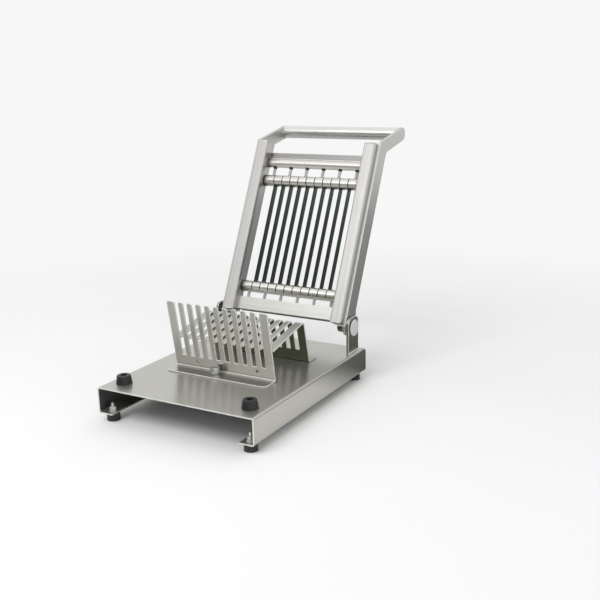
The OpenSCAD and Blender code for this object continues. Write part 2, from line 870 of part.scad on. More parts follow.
module blade_pin(s) {
    color(bright_steel) swung() translate([0, 0, s]) shaft(pin_d, -bar_half, bar_half);
}

module blade_outline() {
    difference() {
        union() {
            translate([-blade_d / 2, lower_bar_s]) square([blade_d, upper_bar_s - lower_bar_s]);
            for (s = [lower_bar_s, upper_bar_s]) translate([0, s]) circle(d = blade_d);
        }
        for (s = [lower_bar_s, upper_bar_s]) translate([0, s]) circle(r = pin_d / 2 + fit_gap);
    }
}

module blade(i) {
    half = blade_t / 2;
    color(blade_steel) swung() translate([blade_x(i), 0, 0]) intersection() {
        across(-half, half) blade_outline();
        linear_extrude(rail_top) polygon([
            [-edge_t / 2, -blade_d / 2],
            [edge_t / 2, -blade_d / 2],
            [half, edge_d - blade_d / 2],
            [half, blade_d / 2],
            [-half, blade_d / 2],
            [-half, edge_d - blade_d / 2]
        ]);
    }
}

// A row of tension screws between two heights along the rails
module tension_screws(s0, s1) {
    color(bright_steel) swung() for (x = screw_places) {
        translate([x, 0, s0]) cylinder(d = screw_d, h = s1 - s0);
    }
}

module tension_lock_nuts() {
    color(black) swung() for (x = screw_places) translate([x, 0, rod_s - rod_d / 2 - lock_nut_h]) {
        hex_nut(screw_d, lock_nut_h, lock_nut_flats);
    }
}

base_tray();
foot(-1, foot_inset);  // foot_front_left
foot(1, foot_inset);  // foot_front_right
foot(-1, base_l - foot_inset);  // foot_rear_left
foot(1, base_l - foot_inset);  // foot_rear_right
foot_studs();
foot_washers();
foot_nuts();
bumper(-1);  // bumper_left
bumper(1);  // bumper_right
bumper_screws();
bumper_nuts();
hinge_post(-1);  // hinge_post_left
hinge_post(1);  // hinge_post_right
pivot_bush(-1);  // pivot_bush_left
pivot_bush(1);  // pivot_bush_right
front_comb();
thumb_nut();
thumb_screw();
saddle_leg();
saddle_fingers();
saddle_screws();
saddle_nuts();
rail(-1);  // rail_left
rail(1);  // rail_right
rail_caps();
side_plate(-1);  // side_plate_left
side_plate(1);  // side_plate_right
handle_tube();
pivot_boss(-1);  // pivot_boss_left
pivot_boss(1);  // pivot_boss_right
pivot_bolt(-1);  // pivot_bolt_left
pivot_bolt(1);  // pivot_bolt_right
upper_tie_bar();
tension_rod();
lower_cross_bar();
blade_bar(upper_bar_s, false);  // upper_blade_bar
blade_bar(lower_bar_s, true);  // lower_blade_bar
blade_pin(upper_bar_s);  // upper_blade_pin
blade_pin(lower_bar_s);  // lower_blade_pin
for (i = [0 : blade_count - 1]) blade(i);
union() {  // upper_tension_screws
    tension_screws(upper_bar_s + bar_d / 2 - screw_in_bar, rod_s - rod_d / 2 + screw_in_rod);
}
union() {  // lower_tension_screws
    tension_screws(cross_top - screw_in_rod, lower_bar_s - bar_d / 2 + screw_in_bar);
}
tension_lock_nuts();
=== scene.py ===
"""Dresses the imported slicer: brushed steel, rubber and fasteners, in a plain pale studio.

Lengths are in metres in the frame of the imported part: X across, Y to the back, Z up from the floor.
"""
import json
import logging
import math
from dataclasses import dataclass
from enum import Enum, IntEnum
from typing import Any, Callable, Iterable, Sequence

import bmesh
import bpy
from mathutils import Euler, Matrix, Vector


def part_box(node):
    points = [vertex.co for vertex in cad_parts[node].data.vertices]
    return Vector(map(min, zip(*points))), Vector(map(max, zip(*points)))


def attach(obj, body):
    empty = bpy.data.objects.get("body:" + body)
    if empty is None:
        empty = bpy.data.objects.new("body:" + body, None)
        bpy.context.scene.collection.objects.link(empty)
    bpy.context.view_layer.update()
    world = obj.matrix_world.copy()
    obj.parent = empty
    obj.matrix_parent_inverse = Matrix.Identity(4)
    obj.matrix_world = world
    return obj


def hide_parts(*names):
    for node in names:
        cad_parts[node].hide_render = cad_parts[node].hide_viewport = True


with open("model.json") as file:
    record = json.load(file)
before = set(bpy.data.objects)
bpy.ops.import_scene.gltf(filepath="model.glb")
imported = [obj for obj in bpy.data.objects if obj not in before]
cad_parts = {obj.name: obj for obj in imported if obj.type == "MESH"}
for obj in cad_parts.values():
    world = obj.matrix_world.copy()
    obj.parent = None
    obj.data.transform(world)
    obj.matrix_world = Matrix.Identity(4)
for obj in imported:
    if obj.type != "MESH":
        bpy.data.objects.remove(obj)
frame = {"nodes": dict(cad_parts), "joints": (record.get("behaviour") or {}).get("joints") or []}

LOG = logging.getLogger("slicer")
MM = 0.001
LEAN = math.radians(25.7)
BASE, THUMB, SWING = "base", "thumb", "swing_frame"
FEET = ("foot_front_left", "foot_front_right", "foot_rear_left", "foot_rear_right")

# A face looks along an axis above the first share of its normal, and is edge-on below the second.
FACING = 0.9
EDGE_ON = 0.1

# Limits of the hand tools: merged points, flat bends, picked rims, eased edges, smooth bends.
MERGED = 0.002 * MM
FLAT = math.radians(0.3)
LEVEL_SLACK = 0.02 * MM
RIM_SLACK = 0.05 * MM
EASED_ANGLE = math.radians(40.0)
EASED_STEPS = 3
FLAT_WEIGHT = 90
SHARP, ROUND = 30.0, 60.0

Colour = tuple[float, float, float]
Point = tuple[float, float, float]
Piece = bpy.types.Object
Socket = bpy.types.NodeSocket
Face = bmesh.types.BMFace
ORIGIN: Point = (0.0, 0.0, 0.0)


def hinge_point() -> Vector:
    """Returns the point of the frame's hinge axis on the middle plane."""
    return Vector(next(j["pos_m"] for j in frame["joints"] if j["name"] == "frame_swing"))


def leaning() -> Matrix:
    """Returns the move from the upright drawing of the frame to its open pose."""
    return Matrix.Translation(hinge_point()) @ Matrix.Rotation(-LEAN, 4, "X")


def upright(node: str) -> list[Vector]:
    """Returns the points of one of the frame's nodes in the upright drawing."""
    back = leaning().inverted()
    return [back @ v.co for v in frame["nodes"][node].data.vertices]


def middle(node: str) -> Vector:
    """Returns the middle of a node's box."""
    low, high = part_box(node)
    return (low + high) / 2.0


def spot(face: Face) -> Vector:
    """Returns the middle of a face."""
    return face.calc_center_median()


class Part(Enum):
    """What a pick selects in edit mode."""

    POINT = "VERT"
    EDGE = "EDGE"
    FACE = "FACE"


class Work(Enum):
    """What a tool does to the piece that it is used on."""

    ADD = "UNION"
    CUT = "DIFFERENCE"
    KEEP_COMMON = "INTERSECT"


class Coat(IntEnum):
    """Place of a finish among the finishes of a sheet, after its main one."""

    EDGE = 1
    # Slot of a painted shade finish.
    SHADE = 2
    # Slot of the darker, shaded copy of the tray's finish for its outer sides.
    SIDE = 3


def free() -> None:
    """Leaves edit mode and deselects everything."""
    if bpy.context.object and bpy.context.object.mode != "OBJECT":
        bpy.ops.object.mode_set(mode="OBJECT")
    bpy.ops.object.select_all(action="DESELECT")


def hold(*pieces: Piece) -> None:
    """Selects pieces.

    Args:
        *pieces: Pieces to select, with the active one first.
    """
    free()
    for piece in pieces:
        piece.select_set(True)
    bpy.context.view_layer.objects.active = pieces[0]


def open_up(piece: Piece) -> None:
    """Enters edit mode with nothing selected.

    Args:
        piece: Piece to edit.
    """
    hold(piece)
    bpy.ops.object.mode_set(mode="EDIT")
    bpy.ops.mesh.select_all(action="DESELECT")


def smooth(piece: Piece, angle: float) -> None:
    """Shades a piece smooth where it bends by less than an angle in degrees."""
    hold(piece)
    bpy.ops.object.shade_smooth_by_angle(angle=math.radians(angle))


def close_up(piece: Piece, angle: float = 35.0) -> None:
    """Turns the normals outwards, leaves edit mode and smooths.

    Args:
        piece: Piece in edit mode.
        angle: Largest angle in degrees that is shaded smooth.
    """
    bpy.ops.mesh.select_all(action="SELECT")
    bpy.ops.mesh.normals_make_consistent(inside=False)
    smooth(piece, angle)


def pick(piece: Piece, part: Part, test: Callable[[Any], bool]) -> None:
    """Selects only the parts of an open mesh that pass a test.

    Args:
        piece: Piece in edit mode.
        part: Kind of part to select.
        test: Says whether a part is wanted.
    """
    bpy.ops.mesh.select_mode(type=part.value)
    bpy.ops.mesh.select_all(action="DESELECT")
    mesh = bmesh.from_edit_mesh(piece.data)
    parts = {Part.POINT: mesh.verts, Part.EDGE: mesh.edges, Part.FACE: mesh.faces}[part]
    for item in parts:
        if test(item):
            item.select_set(True)
    mesh.select_flush_mode()
    bmesh.update_edit_mesh(piece.data)


def pick_level(piece: Piece, z: float, radius: float, centre: Vector) -> None:
    """Selects a round edge about an upright axis.

    Args:
        piece: Piece in edit mode.
        z: Height of the edge.
        radius: Radius of the edge.
        centre: A point of the axis.
    """
    pick(piece, Part.EDGE, lambda edge: all(
        abs(v.co.z - z) < LEVEL_SLACK
        and abs((v.co.xy - centre.xy).length - radius) < RIM_SLACK
        for v in edge.verts))


def draw_up(height: float) -> None:
    """Extrudes the picked faces upwards, or downwards by a height below 0."""
    bpy.ops.mesh.extrude_region_move(TRANSFORM_OT_translate={"value": (0.0, 0.0, height)})


def widen(share: float, centre: Point | Vector) -> None:
    """Scales what is picked across an upright axis."""
    bpy.ops.transform.resize(value=(share, share, 1.0), center_override=centre)


def rod(name: str, radius: float, low: Point, height: float, sides: int = 64) -> Piece:
    """Adds an upright cylinder.

    Args:
        name: Name of the piece.
        radius: Radius of the cylinder.
        low: Middle of its lower end.
        height: Height of the cylinder.
        sides: Number of its sides.

    Returns:
        The new piece.
    """
    free()
    bpy.ops.mesh.primitive_cylinder_add(
        vertices=sides, radius=radius, depth=height,
        location=(low[0], low[1], low[2] + height / 2.0), rotation=(0.0, 0.0, math.pi / sides))
    piece = bpy.context.object
    piece.name = name
    bpy.ops.object.transform_apply()
    return piece


def blank(node: str) -> tuple[Piece, Vector, float]:
    """Opens a round blank of the size of a rubber node.

    Args:
        node: Node that the blank stands for.

    Returns:
        The blank in edit mode, its middle and its radius.
    """
    low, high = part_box(node)
    centre, radius = (low + high) / 2.0, (high.x - low.x) / 2.0
    foot = (centre.x, centre.y, low.z)
    piece = rod(f"{node}_rubber", radius, foot, high.z - low.z)
    open_up(piece)
    return piece, centre, radius


def ribbed(radii: Sequence[float], step: float, sides: int) -> Piece:
    """Draws a round bar upwards from a disc at the origin, ring by ring.

    Args:
        radii: Radius of each ring, from the lowest.
        step: Height between two rings.
        sides: Number of sides of the bar.

    Returns:
        The new piece.
    """
    free()
    bpy.ops.mesh.primitive_circle_add(
        vertices=sides, radius=radii[0], fill_type="NGON", location=ORIGIN)
    piece = bpy.context.object
    bpy.ops.object.mode_set(mode="EDIT")
    bpy.ops.mesh.select_mode(type="FACE")
    bpy.ops.mesh.select_all(action="SELECT")
    for before, after in zip(radii, radii[1:]):
        draw_up(step)
        widen(after / before, ORIGIN)
    close_up(piece, ROUND)
    return piece


def apply(piece: Piece, kind: str, **settings: Any) -> None:
    """Adds a modifier and applies it.

    Args:
        piece: Piece to change.
        kind: Kind of modifier.
        **settings: Settings of the modifier.
    """
    hold(piece)
    modifier = piece.modifiers.new(kind.lower(), kind)
    for key, value in settings.items():
        setattr(modifier, key, value)
    bpy.ops.object.modifier_apply(modifier=modifier.name)


def use(tool: Piece, work: Work, piece: Piece) -> None:
    """Works on a piece with another one as a tool, which is used up."""
    apply(piece, "BOOLEAN", object=tool, solver="EXACT", operation=work.value)
    bpy.data.objects.remove(tool)


def move(piece: Piece, matrix: Matrix) -> None:
    """Moves a piece and puts its place into its mesh.

    Args:
        piece: Piece to move.
        matrix: The move.
    """
    hold(piece)
    piece.matrix_world = matrix @ piece.matrix_world
    bpy.ops.object.transform_apply()


def repeat(piece: Piece, moves: Iterable[Matrix], name: str) -> Piece:
    """Copies a piece to several places and joins the copies.

    Args:
        piece: Piece to copy, which is used up.
        moves: One move for each copy.
        name: Name of the joined piece.

    Returns:
        The joined piece.
    """
    copies = []
    for matrix in moves:
        copy = bpy.data.objects.new(name, piece.data.copy())
        bpy.context.collection.objects.link(copy)
        move(copy, matrix)
        copies.append(copy)
    bpy.data.objects.remove(piece)
    hold(*copies)
    if len(copies) > 1:
        bpy.ops.object.join()
    copies[0].name = name
    return copies[0]


def copied(node: str) -> Piece:
    """Copies a node's mesh and merges its loose triangles.

    Args:
        node: Node to copy.

    Returns:
        The copy.
    """
    free()
    piece = bpy.data.objects.new(f"{node}_eased", frame["nodes"][node].data.copy())
    bpy.context.collection.objects.link(piece)
    open_up(piece)
    bpy.ops.mesh.select_all(action="SELECT")
    bpy.ops.mesh.remove_doubles(threshold=MERGED)
    bpy.ops.mesh.dissolve_limited(angle_limit=FLAT)
    free()
    return piece


def ease(piece: Piece, width: float, skip: Callable[[Vector], bool]) -> None:
    """Rounds the sharp edges of a dressed piece, which take its edge finish, a painted highlight.

    Args:
        piece: Dressed piece.
        width: Width of the rounding.
        skip: Says whether an edge that ends at a point stays sharp.
    """
    open_up(piece)
    pick(piece, Part.EDGE, lambda e: e.is_manifold and e.calc_face_angle() > EASED_ANGLE
         and not any(skip(v.co) for v in e.verts))
    # The bevels take the painted edge highlight.
    bpy.ops.mesh.bevel(offset=width, segments=EASED_STEPS, clamp_overlap=False, material=Coat.EDGE)
    close_up(piece)
    # A second smoothing settles the shading of the corners.
    smooth(piece, SHARP)
    apply(piece, "WEIGHTED_NORMAL", keep_sharp=True, weight=FLAT_WEIGHT)


def paint(piece: Piece, coat: Coat, test: Callable[[Face], bool]) -> None:
    """Gives some faces of a piece another of its finishes.

    Args:
        piece: Dressed piece.
        coat: Finish that they get.
        test: Says whether a face is wanted.
    """
    open_up(piece)
    pick(piece, Part.FACE, test)
    piece.active_material_index = coat
    bpy.ops.object.material_slot_assign()
    free()


class Grain(Enum):
    """Which way a finish runs: size of its marks along X, Y and Z in mm, and whether it leans."""

    ACROSS = ((40.0, 0.35, 0.35), False)
    LENGTHWISE = ((0.35, 45.0, 0.35), False)
    UPRIGHT = ((0.35, 0.35, 30.0), False)
    RAIL = ((0.35, 0.35, 45.0), True)
    TURNED = ((0.30, 9.0, 9.0), True)
    ROLLED = ((0.9, 0.9, 0.9), False)

    @property
    def marks(self) -> Point:
        """Size of a mark in metres."""
        return tuple(v * MM for v in self.value[0])

    @property
    def turn(self) -> float:
        """Turn of the marks about X."""
        return -LEAN if self.value[1] else 0.0


class Polish(Enum):
    """How even a finish is: spread of its roughness, depth of its stains, share of its relief."""

    FINE = (0.01, 0.01, 0.005)
    SATIN = (0.03, 0.01, 0.03)
    LATHE = (0.02, 0.01, 0.03)
    BRUSHED = (0.04, 0.02, 0.04)
    COARSE = (0.05, 0.02, 0.10)
    PLAIN = (0.07, 0.04, 0.10)


class Nodes:
    """A node tree, with short calls that add and join nodes."""

    def __init__(self, tree: bpy.types.NodeTree) -> None:
        """Takes hold of a tree."""
        self.tree = tree

    def feed(self, node: bpy.types.Node, inputs: dict[str | int, Any]) -> bpy.types.Node:
        """Joins the inputs of a node that are given as sockets and sets the others.

        Args:
            node: Node to feed.
            inputs: Socket or value of each input.

        Returns:
            The node.
        """
        for key, value in inputs.items():
            if isinstance(value, Socket):
                self.tree.links.new(value, node.inputs[key])
            else:
                node.inputs[key].default_value = value
        return node

    def add(self, kind: str, inputs: dict[str | int, Any], **settings: Any) -> bpy.types.Node:
        """Adds a node.

        Args:
            kind: Kind of node, without the prefix that all kinds share.
            inputs: Socket or value of each input.
            **settings: Settings of the node.

        Returns:
            The node.
        """
        node = self.tree.nodes.new(f"ShaderNode{kind}")
        for key, value in settings.items():
            setattr(node, key, value)
        return self.feed(node, inputs)

    def math(self, operation: str, *values: Socket) -> Socket:
        """Returns the result of a math node on one or two values."""
        return self.add("Math", dict(enumerate(values)), operation=operation).outputs[0]

    def seen(self) -> Socket:
        """Tells the rays that show the white room from those that light the part.

        Returns:
            A socket that is 1 for rays of the camera, of gloss and of glass.
        """
        ray = self.add("LightPath", {}).outputs
        direct = self.math("MAXIMUM", ray["Is Camera Ray"], ray["Is Glossy Ray"])
        return self.math("MAXIMUM", direct, ray["Is Transmission Ray"])


class Graph(Nodes):
    """A material with a Principled shader, and the patterns that the finishes share."""

    ACROSS_MARKS = 0.25

    def __init__(self, name: str) -> None:
        """Starts a material.

        Args:
            name: Name of the material.
        """
        self.material = bpy.data.materials.new(name)
        self.material.use_nodes = True
        super().__init__(self.material.node_tree)
        self.shader = self.tree.nodes["Principled BSDF"]
        self.place = self.add("TexCoord", {}).outputs["Object"]

    def marks(self, size: Point, turn: float = 0.0) -> Socket:
        """Returns the place, measured in marks of a size in metres along axes turned about X."""
        inputs = {"Vector": self.place, "Rotation": (turn, 0.0, 0.0), "Scale": size}
        return self.add("Mapping", inputs, vector_type="TEXTURE").outputs["Vector"]

    def noise(self, vector: Socket, detail: float = 2.0, rough: float = 0.5) -> Socket:
        """Returns a noise of about 0.5 in the mean, with marks of one unit."""
        inputs = {"Vector": vector, "Scale": 1.0, "Detail": detail, "Roughness": rough}
        return self.add("TexNoise", inputs).outputs["Fac"]

    def spread(self, value: Socket, low: float = 0.0, high: float = 1.0, start: float = 0.3,
               end: float = 0.7) -> Socket:
        """Returns a value carried from the range of start to end to the range of low to high."""
        ranges = {"From Min": start, "From Max": end, "To Min": low, "To Max": high}
        return self.add("MapRange", {"Value": value, **ranges}).outputs["Result"]

    def blend(self, factor: Socket, low: Colour | Socket, high: Colour) -> Socket:
        """Returns a mix of two colours, in which the factor is the share of the second."""
        first = low if isinstance(low, Socket) else (*low, 1.0)
        return self.add("Mix", {0: factor, 6: first, 7: (*high, 1.0)}, data_type="RGBA").outputs[2]

    def axis(self, name: str) -> Socket:
        """Returns the place along X, Y or Z."""
        return self.add("SeparateXYZ", {0: self.place}).outputs[name]

    def brush(self, strength: float) -> None:
        """Stretches the gloss across marks that run from side to side.

        Args:
            strength: Share of the stretch.
        """
        turn = self.add("Tangent", {}, direction_type="RADIAL", axis="Y")
        self.feed(self.shader, {
            "Tangent": turn.outputs["Tangent"], "Anisotropic": strength,
            "Anisotropic Rotation": self.ACROSS_MARKS,
        })

    def relief(self, height: Socket, depth: float, strength: float) -> None:
        """Gives the surface a share of a relief, which is as deep as a height of 1."""
        bump = self.add("Bump", {"Strength": strength, "Distance": depth, "Height": height})
        self.feed(self.shader, {"Normal": bump.outputs["Normal"]})

    def matte(self, colour: Socket) -> None:
        """Makes the surface matte and without gloss, for the stage."""
        self.feed(self.shader, {"Base Color": colour, "Roughness": 0.9, "Specular IOR Level": 0.0})


@dataclass(frozen=True)
class Steel:
    """A metal finish with marks that run one way, soft stains, a fine relief and, on bars, painted
    shade towards their ends.
    """

    name: str
    tone: Colour
    rough: float
    grain: Grain
    polish: Polish = Polish.PLAIN
    streak: float = 0.10
    metal: float = 1.0
    brushed: float = 0.0
    shaded_ends: bool = False

    BROAD = 10.0
    LIGHTER = 0.6
    STAIN = (40.0 * MM,) * 3
    DEPTH = 0.05 * MM
    END_SHADE = (0.10, 0.09, 0.075)
    END_SHADE_START = 78.0 * MM
    END_SHADE_END = 86.0 * MM

    def material(self) -> bpy.types.Material:
        """Makes the finish.

        Returns:
            Its material.
        """
        graph = Graph(self.name)
        uneven, stain, relief = self.polish.value
        marks, turn = self.grain.marks, self.grain.turn
        fine = graph.noise(graph.marks(marks, turn), detail=3.0, rough=0.6)
        broad = graph.noise(graph.marks(tuple(self.BROAD * v for v in marks), turn))
        cloud = graph.noise(graph.marks(self.STAIN), detail=3.0, rough=0.55)
        low = tuple(v * (1.0 - self.streak) for v in self.tone)
        high = tuple(min(1.0, v * (1.0 + self.LIGHTER * self.streak)) for v in self.tone)
        colour = graph.blend(graph.spread(broad), low, high)
        # Painted shade: the colour darkens from 78 to 86 mm off the middle, where the bars meet the
        # rails.
        if self.shaded_ends:
            side = graph.math("ABSOLUTE", graph.axis("X"))
            near_end = graph.spread(side, start=self.END_SHADE_START, end=self.END_SHADE_END)
            colour = graph.blend(near_end, colour, self.END_SHADE)
        if self.brushed:
            graph.brush(self.brushed)
        lines = graph.spread(fine, self.rough - uneven, self.rough + uneven)
        stains = graph.spread(cloud, -stain, stain)
        graph.feed(graph.shader, {
            "Base Color": colour, "Metallic": self.metal,
            "Roughness": graph.math("ADD", lines, stains),
        })
        graph.relief(fine, self.DEPTH, relief)
        return graph.material


@dataclass(frozen=True)
class Rubber:
    """Matte black rubber with a fine moulded skin and a little dust."""

    name: str
    tone: Colour
    dust: Colour
    smoothest: float = 0.30
    roughest: float = 0.52

    SKIN = (0.5 * MM,) * 3
    CLOUD = (6.0 * MM,) * 3
    DEPTH = 0.08 * MM
    RELIEF = 0.08

    def material(self) -> bpy.types.Material:
        """Makes the finish.

        Returns:
            Its material.
        """
        graph = Graph(self.name)
        skin = graph.noise(graph.marks(self.SKIN), detail=4.0, rough=0.6)
        cloud = graph.noise(graph.marks(self.CLOUD), detail=3.0, rough=0.6)
        graph.feed(graph.shader, {
            "Base Color": graph.blend(graph.spread(cloud), self.tone, self.dust),
            "Roughness": graph.spread(cloud, self.smoothest, self.roughest),
        })
        graph.relief(skin, self.DEPTH, self.RELIEF)
        return graph.material


class Finishes:
    """The finishes of the slicer, made once and kept by name."""

    RECIPES = (
        Steel("tray_steel", (0.53, 0.525, 0.48), 0.29, Grain.ACROSS, Polish.FINE, 0.03,
              metal=0.85, brushed=0.6),
        # Painted shade: a fully metallic copy of the tray's finish, which renders the tray's outer
        # sides darker than its partly matte top.
        Steel("shaded_side_steel", (0.53, 0.525, 0.48), 0.29, Grain.ACROSS, Polish.FINE, 0.03,
              brushed=0.6),
        # Painted shade: a dark grey for the tray's inside, the comb's small holes and the cross bar's
        # underside.
        Steel("painted_shade_steel", (0.20, 0.20, 0.195), 0.55, Grain.ROLLED),
        Steel("rail_steel", (0.56, 0.552, 0.537), 0.34, Grain.RAIL, Polish.BRUSHED, 0.13),
        Steel("plate_steel", (0.57, 0.58, 0.55), 0.42, Grain.RAIL, Polish.BRUSHED, 0.07),
        Steel("comb_steel", (0.55, 0.545, 0.505), 0.30, Grain.UPRIGHT, Polish.SATIN, 0.05),
        Steel("saddle_steel", (0.49, 0.485, 0.44), 0.30, Grain.LENGTHWISE, Polish.SATIN, 0.05),
        # Painted shade: a dark olive for the saddle leg's faces and the lugs under the rails.
        Steel("painted_deep_shade_steel", (0.175, 0.185, 0.13), 0.32, Grain.UPRIGHT, Polish.SATIN, 0.05),
        Steel("post_steel", (0.42, 0.42, 0.36), 0.28, Grain.UPRIGHT, Polish.BRUSHED, 0.07),
        Steel("handle_steel", (0.78, 0.78, 0.765), 0.26, Grain.ACROSS, Polish.BRUSHED, 0.06),
        Steel("cross_steel", (0.62, 0.615, 0.58), 0.30, Grain.ACROSS, Polish.BRUSHED, 0.06),
        Steel("flat_bar_steel", (0.335, 0.33, 0.325), 0.34, Grain.ACROSS, Polish.COARSE, 0.14,
              shaded_ends=True),
        Steel("bar_steel", (0.80, 0.79, 0.74), 0.29, Grain.TURNED, Polish.LATHE, 0.03, shaded_ends=True),
        Steel("bolt_steel", (0.66, 0.66, 0.65), 0.30, Grain.TURNED),
        Steel("zinc", (0.72, 0.73, 0.72), 0.36, Grain.ROLLED, metal=0.8),
        # Painted highlight: a light, partly matte finish that makes eased edges and bends read
        # bright.
        Steel("edge_highlight", (0.84, 0.835, 0.80), 0.45, Grain.ROLLED, metal=0.7),
        Steel("matte_zinc", (0.80, 0.80, 0.79), 0.45, Grain.ROLLED, metal=0.3),
        Steel("weld", (0.76, 0.75, 0.72), 0.40, Grain.ROLLED, metal=0.6),
        Steel("blade_steel", (0.078, 0.100, 0.086), 0.34, Grain.RAIL),
        Steel("black_oxide", (0.05, 0.05, 0.05), 0.42, Grain.ROLLED),
        Steel("oiled_bronze", (0.16, 0.13, 0.09), 0.40, Grain.TURNED),
        Rubber("rubber", (0.006, 0.006, 0.006), (0.018, 0.018, 0.018)),
    )

    def __init__(self) -> None:
        """Makes every material."""
        self.made = {recipe.name: recipe.material() for recipe in self.RECIPES}

    def dress(self, piece: Piece, *names: str) -> None:
        """Gives a piece its finishes, in the order of its material slots.

        Args:
            piece: Object with a mesh.
            *names: Names of the finishes.
        """
        piece.data.materials.clear()
        for name in names:
            piece.data.materials.append(self.made[name])


def hand_over(piece: Piece, body: str, slot: str, *nodes: str) -> None:
    """Gives a finished piece to its body and hides the nodes that it replaces.

    Args:
        piece: Finished piece.
        body: Body that carries it.
        slot: Material slot of the record; not used.
        *nodes: Nodes that it replaces.
    """
    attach(piece, body)
    if nodes:
        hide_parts(*nodes)
    LOG.info("%s on %s", piece.name, body)


@dataclass
class BareNodes:
    """Nodes of the frame that keep their own meshes and only get a finish."""

    finishes: Finishes

    NODES = {
        "oiled_bronze": ("pivot_bush_left", "pivot_bush_right"),
        "rail_steel": ("rail_left", "rail_right"),
        "handle_steel": ("handle_tube",),
        "bar_steel": ("tension_rod", "upper_blade_bar", "lower_blade_bar"),
        "bolt_steel": ("pivot_boss_left", "pivot_boss_right", "upper_blade_pin", "lower_blade_pin"),
        "blade_steel": tuple(f"blade_{i}" for i in range(1, 11)),
        "zinc": ("foot_washers", "bumper_nuts", "saddle_nuts", "thumb_nut", "bumper_screws",
                 "saddle_screws"),
    }

    def build(self) -> None:
        """Dresses each of them."""
        for finish, names in self.NODES.items():
            for name in names:
                self.finishes.dress(frame["nodes"][name], finish)
                LOG.info("%s in %s", name, finish)


